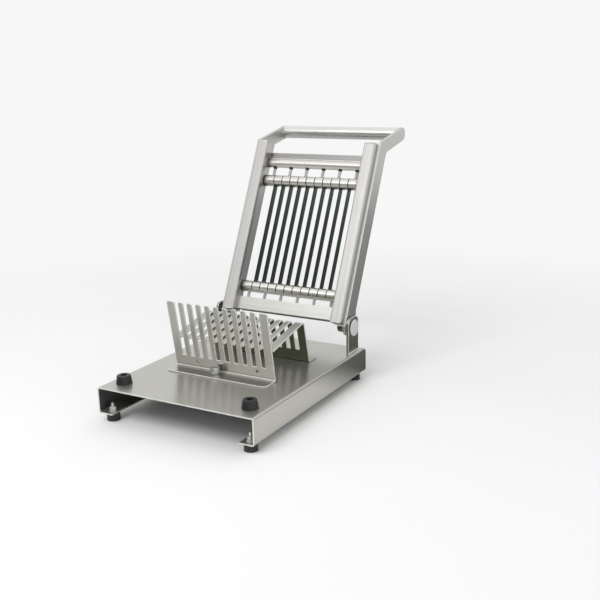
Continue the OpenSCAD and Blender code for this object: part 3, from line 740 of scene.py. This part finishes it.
@dataclass
class SheetWork:
    """Folded sheets, plates and flat bars, with their sheared edges eased."""

    finishes: Finishes
    tray_edge: float = 0.35 * MM
    sheet_edge: float = 0.8 * MM
    plate_edge: float = 0.5 * MM
    bar_edge: float = 0.7 * MM
    rear_corner: float = 12.0 * MM
    flange: float = 3.0 * MM
    wall: float = 1.5 * MM
    side_skin: float = 0.5 * MM
    front_skin: float = 0.1 * MM
    front_lip: float = 0.4 * MM
    hole_height: float = 12.2 * MM
    hole_places: tuple[float, float] = (-44.0 * MM, 55.0 * MM)
    hole_rim: float = 2.5 * MM
    bend: float = 6.0 * MM
    bend_front: float = 0.2
    bend_under: float = 0.3
    bar_under: float = 0.5
    lug_top: float = 2.0 * MM

    def build(self) -> None:
        """Builds every sheet."""
        rows = (
            (("base_tray",), self.tray_edge, "tray_steel", BASE, "brushed_steel"),
            (("front_comb",), self.sheet_edge, "comb_steel", BASE, "satin_steel"),
            (("saddle_leg", "saddle_fingers"), self.sheet_edge, "saddle_steel", BASE,
             "satin_steel"),
            (("hinge_post_left", "hinge_post_right"), self.plate_edge, "post_steel", BASE,
             "brushed_steel"),
            (("side_plate_left", "side_plate_right"), self.plate_edge, "plate_steel", SWING,
             "brushed_steel"),
            (("upper_tie_bar",), self.bar_edge, "flat_bar_steel", SWING, "brushed_steel"),
            (("lower_cross_bar",), self.bar_edge, "cross_steel", SWING, "brushed_steel"),
            (("pivot_bolt_left", "pivot_bolt_right"), self.plate_edge, "matte_zinc", SWING,
             "turned_steel"),
        )
        touches = {"base_tray": self.paint_tray_light_and_shade, "front_comb": self.dark_holes,
                   "saddle_leg": self.dark_leg, "lower_cross_bar": self.dark_under}
        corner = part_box("base_tray")[1] - Vector((self.rear_corner, self.rear_corner, 0.0))
        for nodes, width, finish, body, slot in rows:
            for node in nodes:
                piece = copied(node)
                # Slot 1 holds the painted edge highlight, slot 2 a painted shade grey.
                self.finishes.dress(piece, finish, "edge_highlight", "painted_shade_steel")
                # A rounding throws spikes at the rear corners of the tray.
                ease(piece, width, lambda p: node == "base_tray"
                     and p.y > corner.y and abs(p.x) > corner.x)
                if node in touches:
                    touches[node](piece)
                hand_over(piece, body, slot, node)
        self.caps()

    def caps(self) -> None:
        """Builds the rails' caps, with painted shade on the lugs under the lower ones."""
        piece = copied("rail_caps")
        self.finishes.dress(piece, "rail_steel", "painted_deep_shade_steel")
        level = hinge_point().z + self.lug_top
        # Painted shade: faces below the lug top take the dark olive finish.
        paint(piece, Coat.EDGE, lambda f: spot(f).z < level)
        smooth(piece, SHARP)
        hand_over(piece, SWING, "brushed_steel", "rail_caps")

    def paint_tray_light_and_shade(self, tray: Piece) -> None:
        """Paints shade on the tray's inside, which is also dull, a darker shaded copy of its finish
        on its outer sides, and a highlight on its sheared front edge.

        Args:
            tray: Dressed tray.
        """
        low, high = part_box("base_tray")
        outer = low + Vector((0.0, self.front_lip, self.flange))
        inner = high - Vector((self.wall, self.wall, self.wall))

        def inside(face: Face) -> bool:
            """Says whether a face looks into the tray."""
            x, y, z = spot(face)
            return abs(x) < inner.x and outer.y < y < inner.y and outer.z < z < inner.z
        # Painted shade: the faces inside the tray take the dark grey finish.
        paint(tray, Coat.SHADE, inside)
        # Painted shade: the tray's outer sides take the darker, fully metallic copy of its finish.
        tray.data.materials.append(self.finishes.made["shaded_side_steel"])
        paint(tray, Coat.SIDE, lambda f: abs(f.normal.x) > FACING
              and abs(spot(f).x) > high.x - self.side_skin)
        # Painted highlight: the sheared front edge takes the light edge finish.
        paint(tray, Coat.EDGE, lambda f: f.normal.y < -FACING
              and spot(f).y < low.y + self.front_skin)

    def dark_holes(self, comb: Piece) -> None:
        """Paints shade on the rims and walls of the comb's two small holes.

        Args:
            comb: Dressed comb.
        """
        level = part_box("front_comb")[0].z + self.hole_height

        def at_hole(face: Face) -> bool:
            """Says whether a face belongs to one of the holes."""
            x, _, z = spot(face)
            return any(math.hypot(x - hole, z - level) < self.hole_rim for hole in self.hole_places)
        # Painted shade on the holes' rims and walls.
        paint(comb, Coat.SHADE, at_hole)

    def dark_leg(self, leg: Piece) -> None:
        """Paints shade on the front and back faces of the saddle's leg, and a highlight on the bend
        of its foot.

        Args:
            leg: Dressed leg.
        """
        low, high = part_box("saddle_leg")
        # Painted shade: the shade slot takes the dark olive, which the leg's front and back faces
        # get.
        leg.data.materials[Coat.SHADE] = self.finishes.made["painted_deep_shade_steel"]
        paint(leg, Coat.SHADE, lambda f: abs(f.normal.y) > FACING
              and spot(f).z < high.z - self.bend)
        # Painted highlight: the foot's bend takes the light edge finish.
        paint(leg, Coat.EDGE, lambda f: f.normal.y < -self.bend_front
              and f.normal.z < -self.bend_under and spot(f).z < low.z + self.bend)

    def dark_under(self, bar: Piece) -> None:
        """Paints shade on the underside of the lower cross bar."""
        paint(bar, Coat.SHADE, lambda f: f.normal.z < -self.bar_under)


@dataclass
class RubberFeet:
    """Four feet with a waist, rounded rims and a blind hole for the stud."""

    finishes: Finishes
    stud_radius: float = 2.55 * MM
    stud_depth: float = 7.5 * MM
    lip: float = 2.6 * MM
    waist: float = 0.95
    rim: float = 0.9 * MM
    outer_share: float = 0.8

    def build(self) -> None:
        """Sinks the hole of each foot, draws in its waist and rounds its rims."""
        for node in FEET:
            piece, centre, radius = blank(node)
            pick(piece, Part.FACE, lambda f: f.normal.z > FACING)
            bpy.ops.mesh.inset(thickness=radius - self.stud_radius)
            draw_up(-self.stud_depth)
            pick(piece, Part.FACE, lambda f: abs(f.normal.z) < EDGE_ON
                 and (spot(f).xy - centre.xy).length > self.outer_share * radius)
            bpy.ops.mesh.inset(thickness=self.lip)
            widen(self.waist, centre)
            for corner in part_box(node):
                pick_level(piece, corner.z, radius, centre)
                bpy.ops.mesh.bevel(offset=self.rim, segments=3)
            close_up(piece)
            self.finishes.dress(piece, "rubber")
            hand_over(piece, BASE, "rubber", node)


@dataclass
class Bumpers:
    """Two tapered rubber stops with a deep hole for the screw."""

    finishes: Finishes
    top_radius: float = 9.5 * MM
    hole_radius: float = 4.3 * MM
    hole_depth: float = 8.0 * MM
    top_rim: float = 1.6 * MM
    hole_rim: float = 0.6 * MM

    def build(self) -> None:
        """Tapers each stop, sinks its hole and rounds its rims."""
        for node in ("bumper_left", "bumper_right"):
            piece, centre, radius = blank(node)
            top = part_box(node)[1].z
            pick(piece, Part.FACE, lambda f: f.normal.z > FACING)
            widen(self.top_radius / radius, centre)
            bpy.ops.mesh.inset(thickness=self.top_radius - self.hole_radius)
            draw_up(-self.hole_depth)
            pick_level(piece, top, self.top_radius, centre)
            bpy.ops.mesh.bevel(offset=self.top_rim, segments=4)
            pick_level(piece, top, self.hole_radius, centre)
            bpy.ops.mesh.bevel(offset=self.hole_rim, segments=3)
            close_up(piece)
            self.finishes.dress(piece, "rubber")
            hand_over(piece, BASE, "rubber", node)


@dataclass
class Fasteners:
    """Threaded studs and screws, chamfered nuts and lock nuts."""

    finishes: Finishes
    stud_radius: float = 2.5 * MM
    screw_radius: float = 2.5 * MM
    stud_pitch: float = 1.0 * MM
    screw_pitch: float = 0.8 * MM
    root: float = 0.84
    thread_sides: int = 20
    flats_per_radius: float = 3.3
    lock_flats_per_radius: float = 2.5
    lock_collar: float = 1.2 * MM
    nut_slope: float = 30.0
    nut_face: float = 0.96
    collar_share: float = 0.86
    overlap: float = 0.2 * MM
    clearance: float = 0.05 * MM
    run_out: float = 1.0 * MM

    # Places of the tension screws across the frame, in half pitches from its middle.
    PLACES = (-5, -3, -1, 1, 3, 5)

    def build(self) -> None:
        """Builds every fastener."""
        self.studs()
        self.foot_nuts()
        self.tension_screws("upper_tension_screws")
        self.tension_screws("lower_tension_screws")
        self.lock_nuts()

    def thread(self, radius: float, pitch: float, length: float) -> Piece:
        """Draws a threaded bar upwards from the origin.

        Args:
            radius: Outer radius of the thread.
            pitch: Height of one turn.
            length: Length of the bar.

        Returns:
            The bar.
        """
        turns = round(length / pitch)
        radii = [radius * self.root] + [radius, radius * self.root] * turns
        return ribbed(radii, length / (2 * turns), self.thread_sides)

    def nut(self, radius: float, height: float, width: float, collar: float = 0.0) -> Piece:
        """Models a nut upwards from the origin, its corners chamfered.

        Args:
            radius: Radius of its bore.
            height: Height of the nut.
            width: Width across its flats, in radii of the bore.
            collar: Height of a round collar under its hexagon.

        Returns:
            The nut.
        """
        flat = width * radius / 2.0
        corner = 2.0 * flat / math.sqrt(3.0)
        outer = corner + self.clearance
        foot = (0.0, 0.0, collar)
        piece = rod("nut", corner, foot, height - collar, sides=6)
        turned = rod("turned", outer, foot, height - collar, sides=48)
        open_up(turned)
        step = outer - self.nut_face * flat
        drop = step * math.tan(math.radians(self.nut_slope))
        for sign, level in ((-1.0, collar), (1.0, height)):
            pick(turned, Part.FACE, lambda f: sign * f.normal.z > FACING)
            bpy.ops.mesh.inset(thickness=step)
            pick_level(turned, level, outer, Vector())
            bpy.ops.transform.translate(value=(0.0, 0.0, -sign * drop))
        close_up(turned)
        use(turned, Work.KEEP_COMMON, piece)
        if collar:
            rim = self.collar_share * flat
            ring = rod("collar", rim, ORIGIN, collar + self.overlap, sides=40)
            open_up(ring)
            pick_level(ring, 0.0, rim, Vector())
            bpy.ops.mesh.bevel(offset=collar / 2.0, segments=3)
            close_up(ring)
            use(ring, Work.ADD, piece)
        start = (0.0, 0.0, -self.run_out)
        bore = rod("bore", radius, start, height + 2.0 * self.run_out, sides=40)
        use(bore, Work.CUT, piece)
        smooth(piece, SHARP)
        return piece

    def at_feet(self, z: float) -> list[Matrix]:
        """Returns the moves to the axis of each foot, at one height."""
        return [Matrix.Translation((*middle(foot).xy, z)) for foot in FEET]

    def at_blades(self, z: float) -> list[Matrix]:
        """Returns the moves to the axis of each tension screw, at one height of the frame."""
        half = (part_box("upper_tension_screws")[1].x - self.screw_radius) / self.PLACES[-1]
        return [leaning() @ Matrix.Translation((half * k, 0.0, z)) for k in self.PLACES]

    def studs(self) -> None:
        """Builds the four levelling studs."""
        low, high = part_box("foot_studs")
        stud = self.thread(self.stud_radius, self.stud_pitch, high.z - low.z)
        piece = repeat(stud, self.at_feet(low.z), "foot_studs_threaded")
        self.finishes.dress(piece, "zinc")
        hand_over(piece, BASE, "zinc_steel", "foot_studs")

    def foot_nuts(self) -> None:
        """Builds the four nuts on the studs."""
        low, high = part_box("foot_nuts")
        nut = self.nut(self.stud_radius, high.z - low.z, self.flats_per_radius)
        piece = repeat(nut, self.at_feet(low.z), "foot_nuts_chamfered")
        self.finishes.dress(piece, "zinc")
        hand_over(piece, BASE, "zinc_steel", "foot_nuts")

    def tension_screws(self, node: str) -> None:
        """Builds one row of tension screws.

        Args:
            node: Node that holds the row.
        """
        ends = [p.z for p in upright(node)]
        screw = self.thread(self.screw_radius, self.screw_pitch, max(ends) - min(ends))
        piece = repeat(screw, self.at_blades(min(ends)), f"{node}_threaded")
        self.finishes.dress(piece, "zinc")
        hand_over(piece, SWING, "zinc_steel", node)

    def lock_nuts(self) -> None:
        """Builds the black nuts under the tension rod, collars downwards."""
        ends = [p.z for p in upright("tension_lock_nuts")]
        nut = self.nut(self.screw_radius, max(ends) - min(ends), self.lock_flats_per_radius,
                       self.lock_collar)
        piece = repeat(nut, self.at_blades(min(ends)), "tension_lock_nuts_collared")
        self.finishes.dress(piece, "black_oxide")
        hand_over(piece, SWING, "black_steel", "tension_lock_nuts")


@dataclass
class ThumbScrew:
    """Knurled thumb screw of the comb's foot."""

    finishes: Finishes
    radius: float = 6.8 * MM
    knob_height: float = 9.2 * MM
    flutes: int = 24
    faces_per_flute: int = 3
    flute: float = 0.45 * MM
    rim: float = 0.6 * MM
    border: float = 1.2 * MM
    dish_slope: float = 0.6 * MM
    dish: float = 0.5 * MM
    neck: float = 3.0 * MM
    end_area: float = 10.0 * MM * MM

    def build(self) -> None:
        """Builds the thumb screw."""
        low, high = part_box("thumb_screw")
        centre = (low + high) / 2.0
        start = high.z - self.knob_height
        foot = (centre.x, centre.y, start)
        sides = self.faces_per_flute * self.flutes
        piece = rod("thumb_screw_knurled", self.radius, foot, self.knob_height, sides)
        open_up(piece)
        for level in (start, high.z):
            pick_level(piece, level, self.radius, centre)
            bpy.ops.mesh.bevel(offset=self.rim, segments=2)
        turn = math.tau / self.flutes

        def in_flute(face: Face) -> bool:
            """Says whether a face of the rim is sunk."""
            x, y, _ = spot(face) - centre
            return abs(face.normal.z) < EDGE_ON and math.atan2(y, x) % turn < math.tau / sides
        pick(piece, Part.FACE, in_flute)
        bpy.ops.mesh.extrude_region_shrink_fatten(TRANSFORM_OT_shrink_fatten={"value": -self.flute})
        pick(piece, Part.FACE, lambda f: f.normal.z > FACING and f.calc_area() > self.end_area)
        bpy.ops.mesh.inset(thickness=self.border)
        bpy.ops.mesh.inset(thickness=self.dish_slope, depth=-self.dish)
        pick(piece, Part.FACE, lambda f: f.normal.z < -FACING and f.calc_area() > self.end_area)
        bpy.ops.mesh.inset(thickness=self.radius - self.rim - self.neck)
        draw_up(low.z - start)
        close_up(piece, SHARP)
        self.finishes.dress(piece, "bolt_steel")
        hand_over(piece, THUMB, "turned_steel", "thumb_screw")


@dataclass
class Welds:
    """Weld beads at the posts' feet, round the handle's ends and along the tie bar."""

    finishes: Finishes
    bead: float = 1.3 * MM
    tip: float = 0.4
    ripple: float = 0.86
    step: float = 0.9 * MM
    sides: int = 12
    ring_steps: int = 64
    ring_sides: int = 10
    ring_ripple: float = 0.12
    sink: float = 0.36 * MM

    LAID = Matrix.Rotation(-math.pi / 2.0, 4, "X")
    SIDEWAYS = Matrix.Rotation(math.pi / 2.0, 4, "Y")

    def build(self) -> None:
        """Builds the beads of the base and of the frame."""
        self.post_beads()
        self.handle_beads()
        self.tie_bead()

    def line(self, length: float) -> Piece:
        """Draws a straight bead upwards from the origin.

        Args:
            length: Length of the bead.

        Returns:
            The bead.
        """
        count = round(length / self.step)
        ripples = [self.bead * (1.0 if k % 2 else self.ripple) for k in range(count - 1)]
        ends = [self.tip * self.bead]
        return ribbed(ends + ripples + ends, length / count, self.sides)

    def post_beads(self) -> None:
        """Builds the beads on both faces of each post's foot."""
        low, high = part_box("hinge_post_right")
        moves = [Matrix.Translation((side * x, low.y, low.z)) @ self.LAID
                 for side in (-1, 1) for x in (low.x, high.x)]
        piece = repeat(self.line(high.y - low.y), moves, "post_welds")
        self.finishes.dress(piece, "weld")
        hand_over(piece, BASE, "brushed_steel")

    def handle_beads(self) -> None:
        """Builds the rings where the handle meets the side plates."""
        low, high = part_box("handle_tube")
        centre, radius = (low + high) / 2.0, (high.z - low.z) / 2.0
        free()
        bpy.ops.mesh.primitive_torus_add(
            major_segments=self.ring_steps, minor_segments=self.ring_sides,
            major_radius=radius - self.sink, minor_radius=self.bead / 2.0)
        ring = bpy.context.object
        open_up(ring)
        turn = math.tau / self.ring_steps
        pick(ring, Part.POINT, lambda v: round(math.atan2(v.co.y, v.co.x) / turn) % 2 == 0)
        bpy.ops.transform.shrink_fatten(value=-self.ring_ripple * self.bead)
        close_up(ring, ROUND)
        moves = [Matrix.Translation((x, centre.y, centre.z)) @ self.SIDEWAYS
                 for x in (low.x, high.x)]
        piece = repeat(ring, moves, "handle_welds")
        self.finishes.dress(piece, "weld")
        hand_over(piece, SWING, "brushed_steel")

    def tie_bead(self) -> None:
        """Builds the bead that fills the seam between the tie bar and the tension rod."""
        points = upright("upper_tie_bar")
        left, front, under = (min(p[axis] for p in points) for axis in range(3))
        place = Matrix.Translation((left, front, under - self.bead / 2.0))
        seam = leaning() @ place @ self.SIDEWAYS
        piece = repeat(self.line(-2.0 * left), [seam], "tie_weld")
        self.finishes.dress(piece, "bar_steel")
        hand_over(piece, SWING, "brushed_steel")


@dataclass
class Studio:
    """Camera, pale floor and soft light."""

    azimuth: float = math.radians(29.69)
    elevation: float = math.radians(14.65)
    roll: float = math.radians(-1.13)
    lens: float = 52.665
    eye: Point = (0.6709, -1.0864, 0.4582)
    aim: Point = (0.0, 0.0, 0.12)
    white: float = 0.93
    ambient: float = 0.74
    floor_size: float = 12.0
    floor_marks: Point = (0.4, 0.4, 0.4)
    floor_tones: tuple[float, float] = (0.90, 0.92)
    fade_start: float = 0.40
    fade_end: float = 1.10
    card_rise: float = 1.0 * MM
    grey_marks: Point = (0.5, 0.5, 0.5)
    grey_cloud: float = 0.07
    wall_radius: float = 2.6
    wall_height: float = 0.9
    wall_tone: float = 0.30
    wall_front: float = -0.6
    wall_right: float = 0.5
    flag_start: Point = (0.15, 0.66, 0.0)
    flag_along: Point = (0.60, -0.26, 0.0)
    flag_height: float = 0.20
    flag_tone: float = 0.28

    # Name, front left corner and rear right corner of each card, and its tones at places along Y.
    CARDS = (
        ("side_card", (0.13, 0.0), (1.4, 1.5),
         ((0.0, 0.85), (0.10, 0.13), (0.42, 0.28), (0.76, 0.45), (1.4, 0.85))),
        ("front_card", (-3.0, -2.6), (0.1, -0.27), ((-2.6, 0.30), (-0.50, 0.32), (-0.28, 0.80))),
        ("left_card", (-3.0, -0.27), (-0.13, 1.2),
         ((-0.27, 0.70), (-0.12, 0.34), (0.0, 0.36), (0.16, 0.50), (0.8, 0.55), (1.2, 0.85))),
        ("rear_card", (-0.13, 0.08), (0.13, 1.2),
         ((0.08, 0.45), (0.16, 0.50), (0.8, 0.55), (1.2, 0.85))),
    )
    # Name, place, side and power of each lamp, and whether the polished metal shows it.
    LAMPS = (
        ("key", (-0.6, -1.5, 1.6), 1.0, 3.4, True),
        ("top", (0.3, 0.3, 2.2), 1.8, 2.0, True),
        ("front", (-0.2, -1.5, 1.9), 1.2, 18.0, False),
    )

    def build(self) -> None:
        """Builds the whole studio."""
        bpy.context.scene.view_settings.view_transform = "Standard"
        self.camera()
        self.world()
        self.floor()
        self.dark_wall()
        for card in self.CARDS:
            self.card(*card)
        self.back_flag()
        for lamp in self.LAMPS:
            self.soft_box(*lamp)

    def camera(self) -> None:
        """Sets the camera where the photograph was taken."""
        data = bpy.data.cameras.new("camera")
        data.lens = self.lens
        camera = bpy.data.objects.new("camera", data)
        look = Euler((math.pi / 2.0 - self.elevation, 0.0, self.azimuth)).to_matrix().to_4x4()
        roll = Matrix.Rotation(self.roll, 4, "Z")
        camera.matrix_world = Matrix.Translation(self.eye) @ look @ roll
        bpy.context.collection.objects.link(camera)
        bpy.context.scene.camera = camera

    def world(self) -> None:
        """Makes a white room that lights the part at a plain level."""
        world = bpy.data.worlds.new("room")
        world.use_nodes = True
        bpy.context.scene.world = world
        nodes = Nodes(world.node_tree)
        nodes.tree.nodes.clear()
        lights = [nodes.add("Background", {"Color": (1.0, 1.0, 1.0, 1.0), "Strength": strength})
                  for strength in (self.ambient, self.white)]
        choose = nodes.add("MixShader", {
            0: nodes.seen(), 1: lights[0].outputs[0], 2: lights[1].outputs[0]})
        nodes.add("OutputWorld", {"Surface": choose.outputs[0]})

    @staticmethod
    def panel(name: str, start: Point, along: Point, up: Point) -> Piece:
        """Adds a flat panel to the stage.

        Args:
            name: Name of the panel.
            start: Its first corner.
            along: From that corner to the next one.
            up: From that corner to the last one.

        Returns:
            The panel.
        """
        free()
        bpy.ops.mesh.primitive_plane_add(size=1.0, location=ORIGIN)
        panel = bpy.context.object
        panel.name = name
        corner, side, rise = map(Vector, (start, along, up))
        turn = Matrix((side, rise, side.cross(rise).normalized())).transposed().to_4x4()
        panel.matrix_world = Matrix.Translation(corner + (side + rise) / 2.0) @ turn
        bpy.ops.object.transform_apply()
        return panel

    def floor(self) -> None:
        """Lays a pale floor that keeps the soft shadow and fades into the white room."""
        size = self.floor_size
        corner = (-size / 2.0, -size / 2.0, 0.0)
        floor = self.panel("floor", corner, (size, 0.0, 0.0), (0.0, size, 0.0))
        graph = Graph("floor")
        cloud = graph.spread(graph.noise(graph.marks(self.floor_marks)))
        low, high = self.floor_tones
        graph.matte(graph.blend(cloud, (low, low, low), (high, high, high)))
        distance = graph.add("VectorMath", {0: graph.place}, operation="LENGTH").outputs["Value"]
        away = graph.spread(distance, start=self.fade_start, end=self.fade_end)
        clear = graph.add("BsdfTransparent", {})
        choose = graph.add("MixShader", {
            0: graph.math("MULTIPLY", away, graph.seen()),
            1: graph.shader.outputs[0], 2: clear.outputs[0],
        })
        graph.feed(graph.tree.nodes["Material Output"], {"Surface": choose.outputs[0]})
        floor.data.materials.append(graph.material)

    def dark_wall(self) -> None:
        """Stands a low dark wall to the front left, which only the metal shows."""
        free()
        bpy.ops.mesh.primitive_cylinder_add(
            vertices=96, radius=self.wall_radius, depth=self.wall_height,
            end_fill_type="NOTHING", location=(0.0, 0.0, self.wall_height / 2.0))
        wall = bpy.context.object
        wall.name = "dark_wall"
        open_up(wall)
        pick(wall, Part.FACE, lambda f: spot(f).y > self.wall_front or spot(f).x > self.wall_right)
        bpy.ops.mesh.delete(type="FACE")
        free()
        self.grey(wall, self.wall_tone)

    def grey(self, piece: Piece, tone: float) -> None:
        """Makes a stage piece a cloudy grey that only the metal shows.

        Args:
            piece: Piece of the stage.
            tone: Mean grey.
        """
        graph = Graph(piece.name)
        cloud = graph.spread(graph.noise(graph.marks(self.grey_marks)))
        low, high = tone * (1.0 - self.grey_cloud), tone * (1.0 + self.grey_cloud)
        graph.matte(graph.blend(cloud, (low, low, low), (high, high, high)))
        self.only_in_metal(piece, graph.material)

    def back_flag(self) -> None:
        """Stands a grey card at the rear right, which only the metal shows."""
        up = (0.0, 0.0, self.flag_height)
        self.grey(self.panel("back_flag", self.flag_start, self.flag_along, up), self.flag_tone)

    def card(self, name: str, low: tuple[float, float], high: tuple[float, float],
             tones: Sequence[tuple[float, float]]) -> None:
        """Lays a grey card on the floor, which only the metal shows.

        Args:
            name: Name of the card.
            low: Its front left corner.
            high: Its rear right corner.
            tones: Places along Y with their tones, from front to back.
        """
        width, depth = (high[0] - low[0], 0.0, 0.0), (0.0, high[1] - low[1], 0.0)
        card = self.panel(name, (*low, self.card_rise), width, depth)
        graph = Graph(name)
        first, last = tones[0][0], tones[-1][0]
        along = graph.spread(graph.axis("Y"), start=first, end=last)
        ramp = graph.add("ValToRGB", {"Fac": along})
        stops = ramp.color_ramp.elements
        while len(stops) < len(tones):
            stops.new(0.5)
        for stop, (place, tone) in zip(stops, tones):
            stop.position = (place - first) / (last - first)
            stop.color = (tone, tone, tone, 1.0)
        graph.matte(ramp.outputs["Color"])
        self.only_in_metal(card, graph.material)

    @staticmethod
    def only_in_metal(piece: Piece, material: bpy.types.Material) -> None:
        """Dresses a stage piece and hides it from all but the reflections.

        Args:
            piece: Piece of the stage.
            material: Its material.
        """
        piece.data.materials.append(material)
        piece.visible_camera = False
        piece.visible_diffuse = False
        piece.visible_shadow = False

    def soft_box(self, name: str, place: Point, size: float, power: float, in_metal: bool) -> None:
        """Hangs one soft box that faces the part.

        Args:
            name: Name of the lamp.
            place: Where it hangs.
            size: Side of its square.
            power: Power in watts.
            in_metal: Whether the polished metal shows the lamp.
        """
        data = bpy.data.lights.new(name, "AREA")
        data.size = size
        data.energy = power
        lamp = bpy.data.objects.new(name, data)
        turn = (Vector(self.aim) - Vector(place)).to_track_quat("-Z", "Y").to_matrix().to_4x4()
        lamp.matrix_world = Matrix.Translation(place) @ turn
        lamp.visible_glossy = in_metal
        bpy.context.collection.objects.link(lamp)


def main() -> None:
    """Builds every piece, then the studio."""
    logging.basicConfig(level=logging.INFO, format="%(name)s: %(message)s")
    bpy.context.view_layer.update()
    finishes = Finishes()
    for sub_assembly in (BareNodes, SheetWork, RubberFeet, Bumpers, Fasteners, ThumbScrew, Welds):
        sub_assembly(finishes).build()
    Studio().build()


if __name__ == "__main__":
    main()
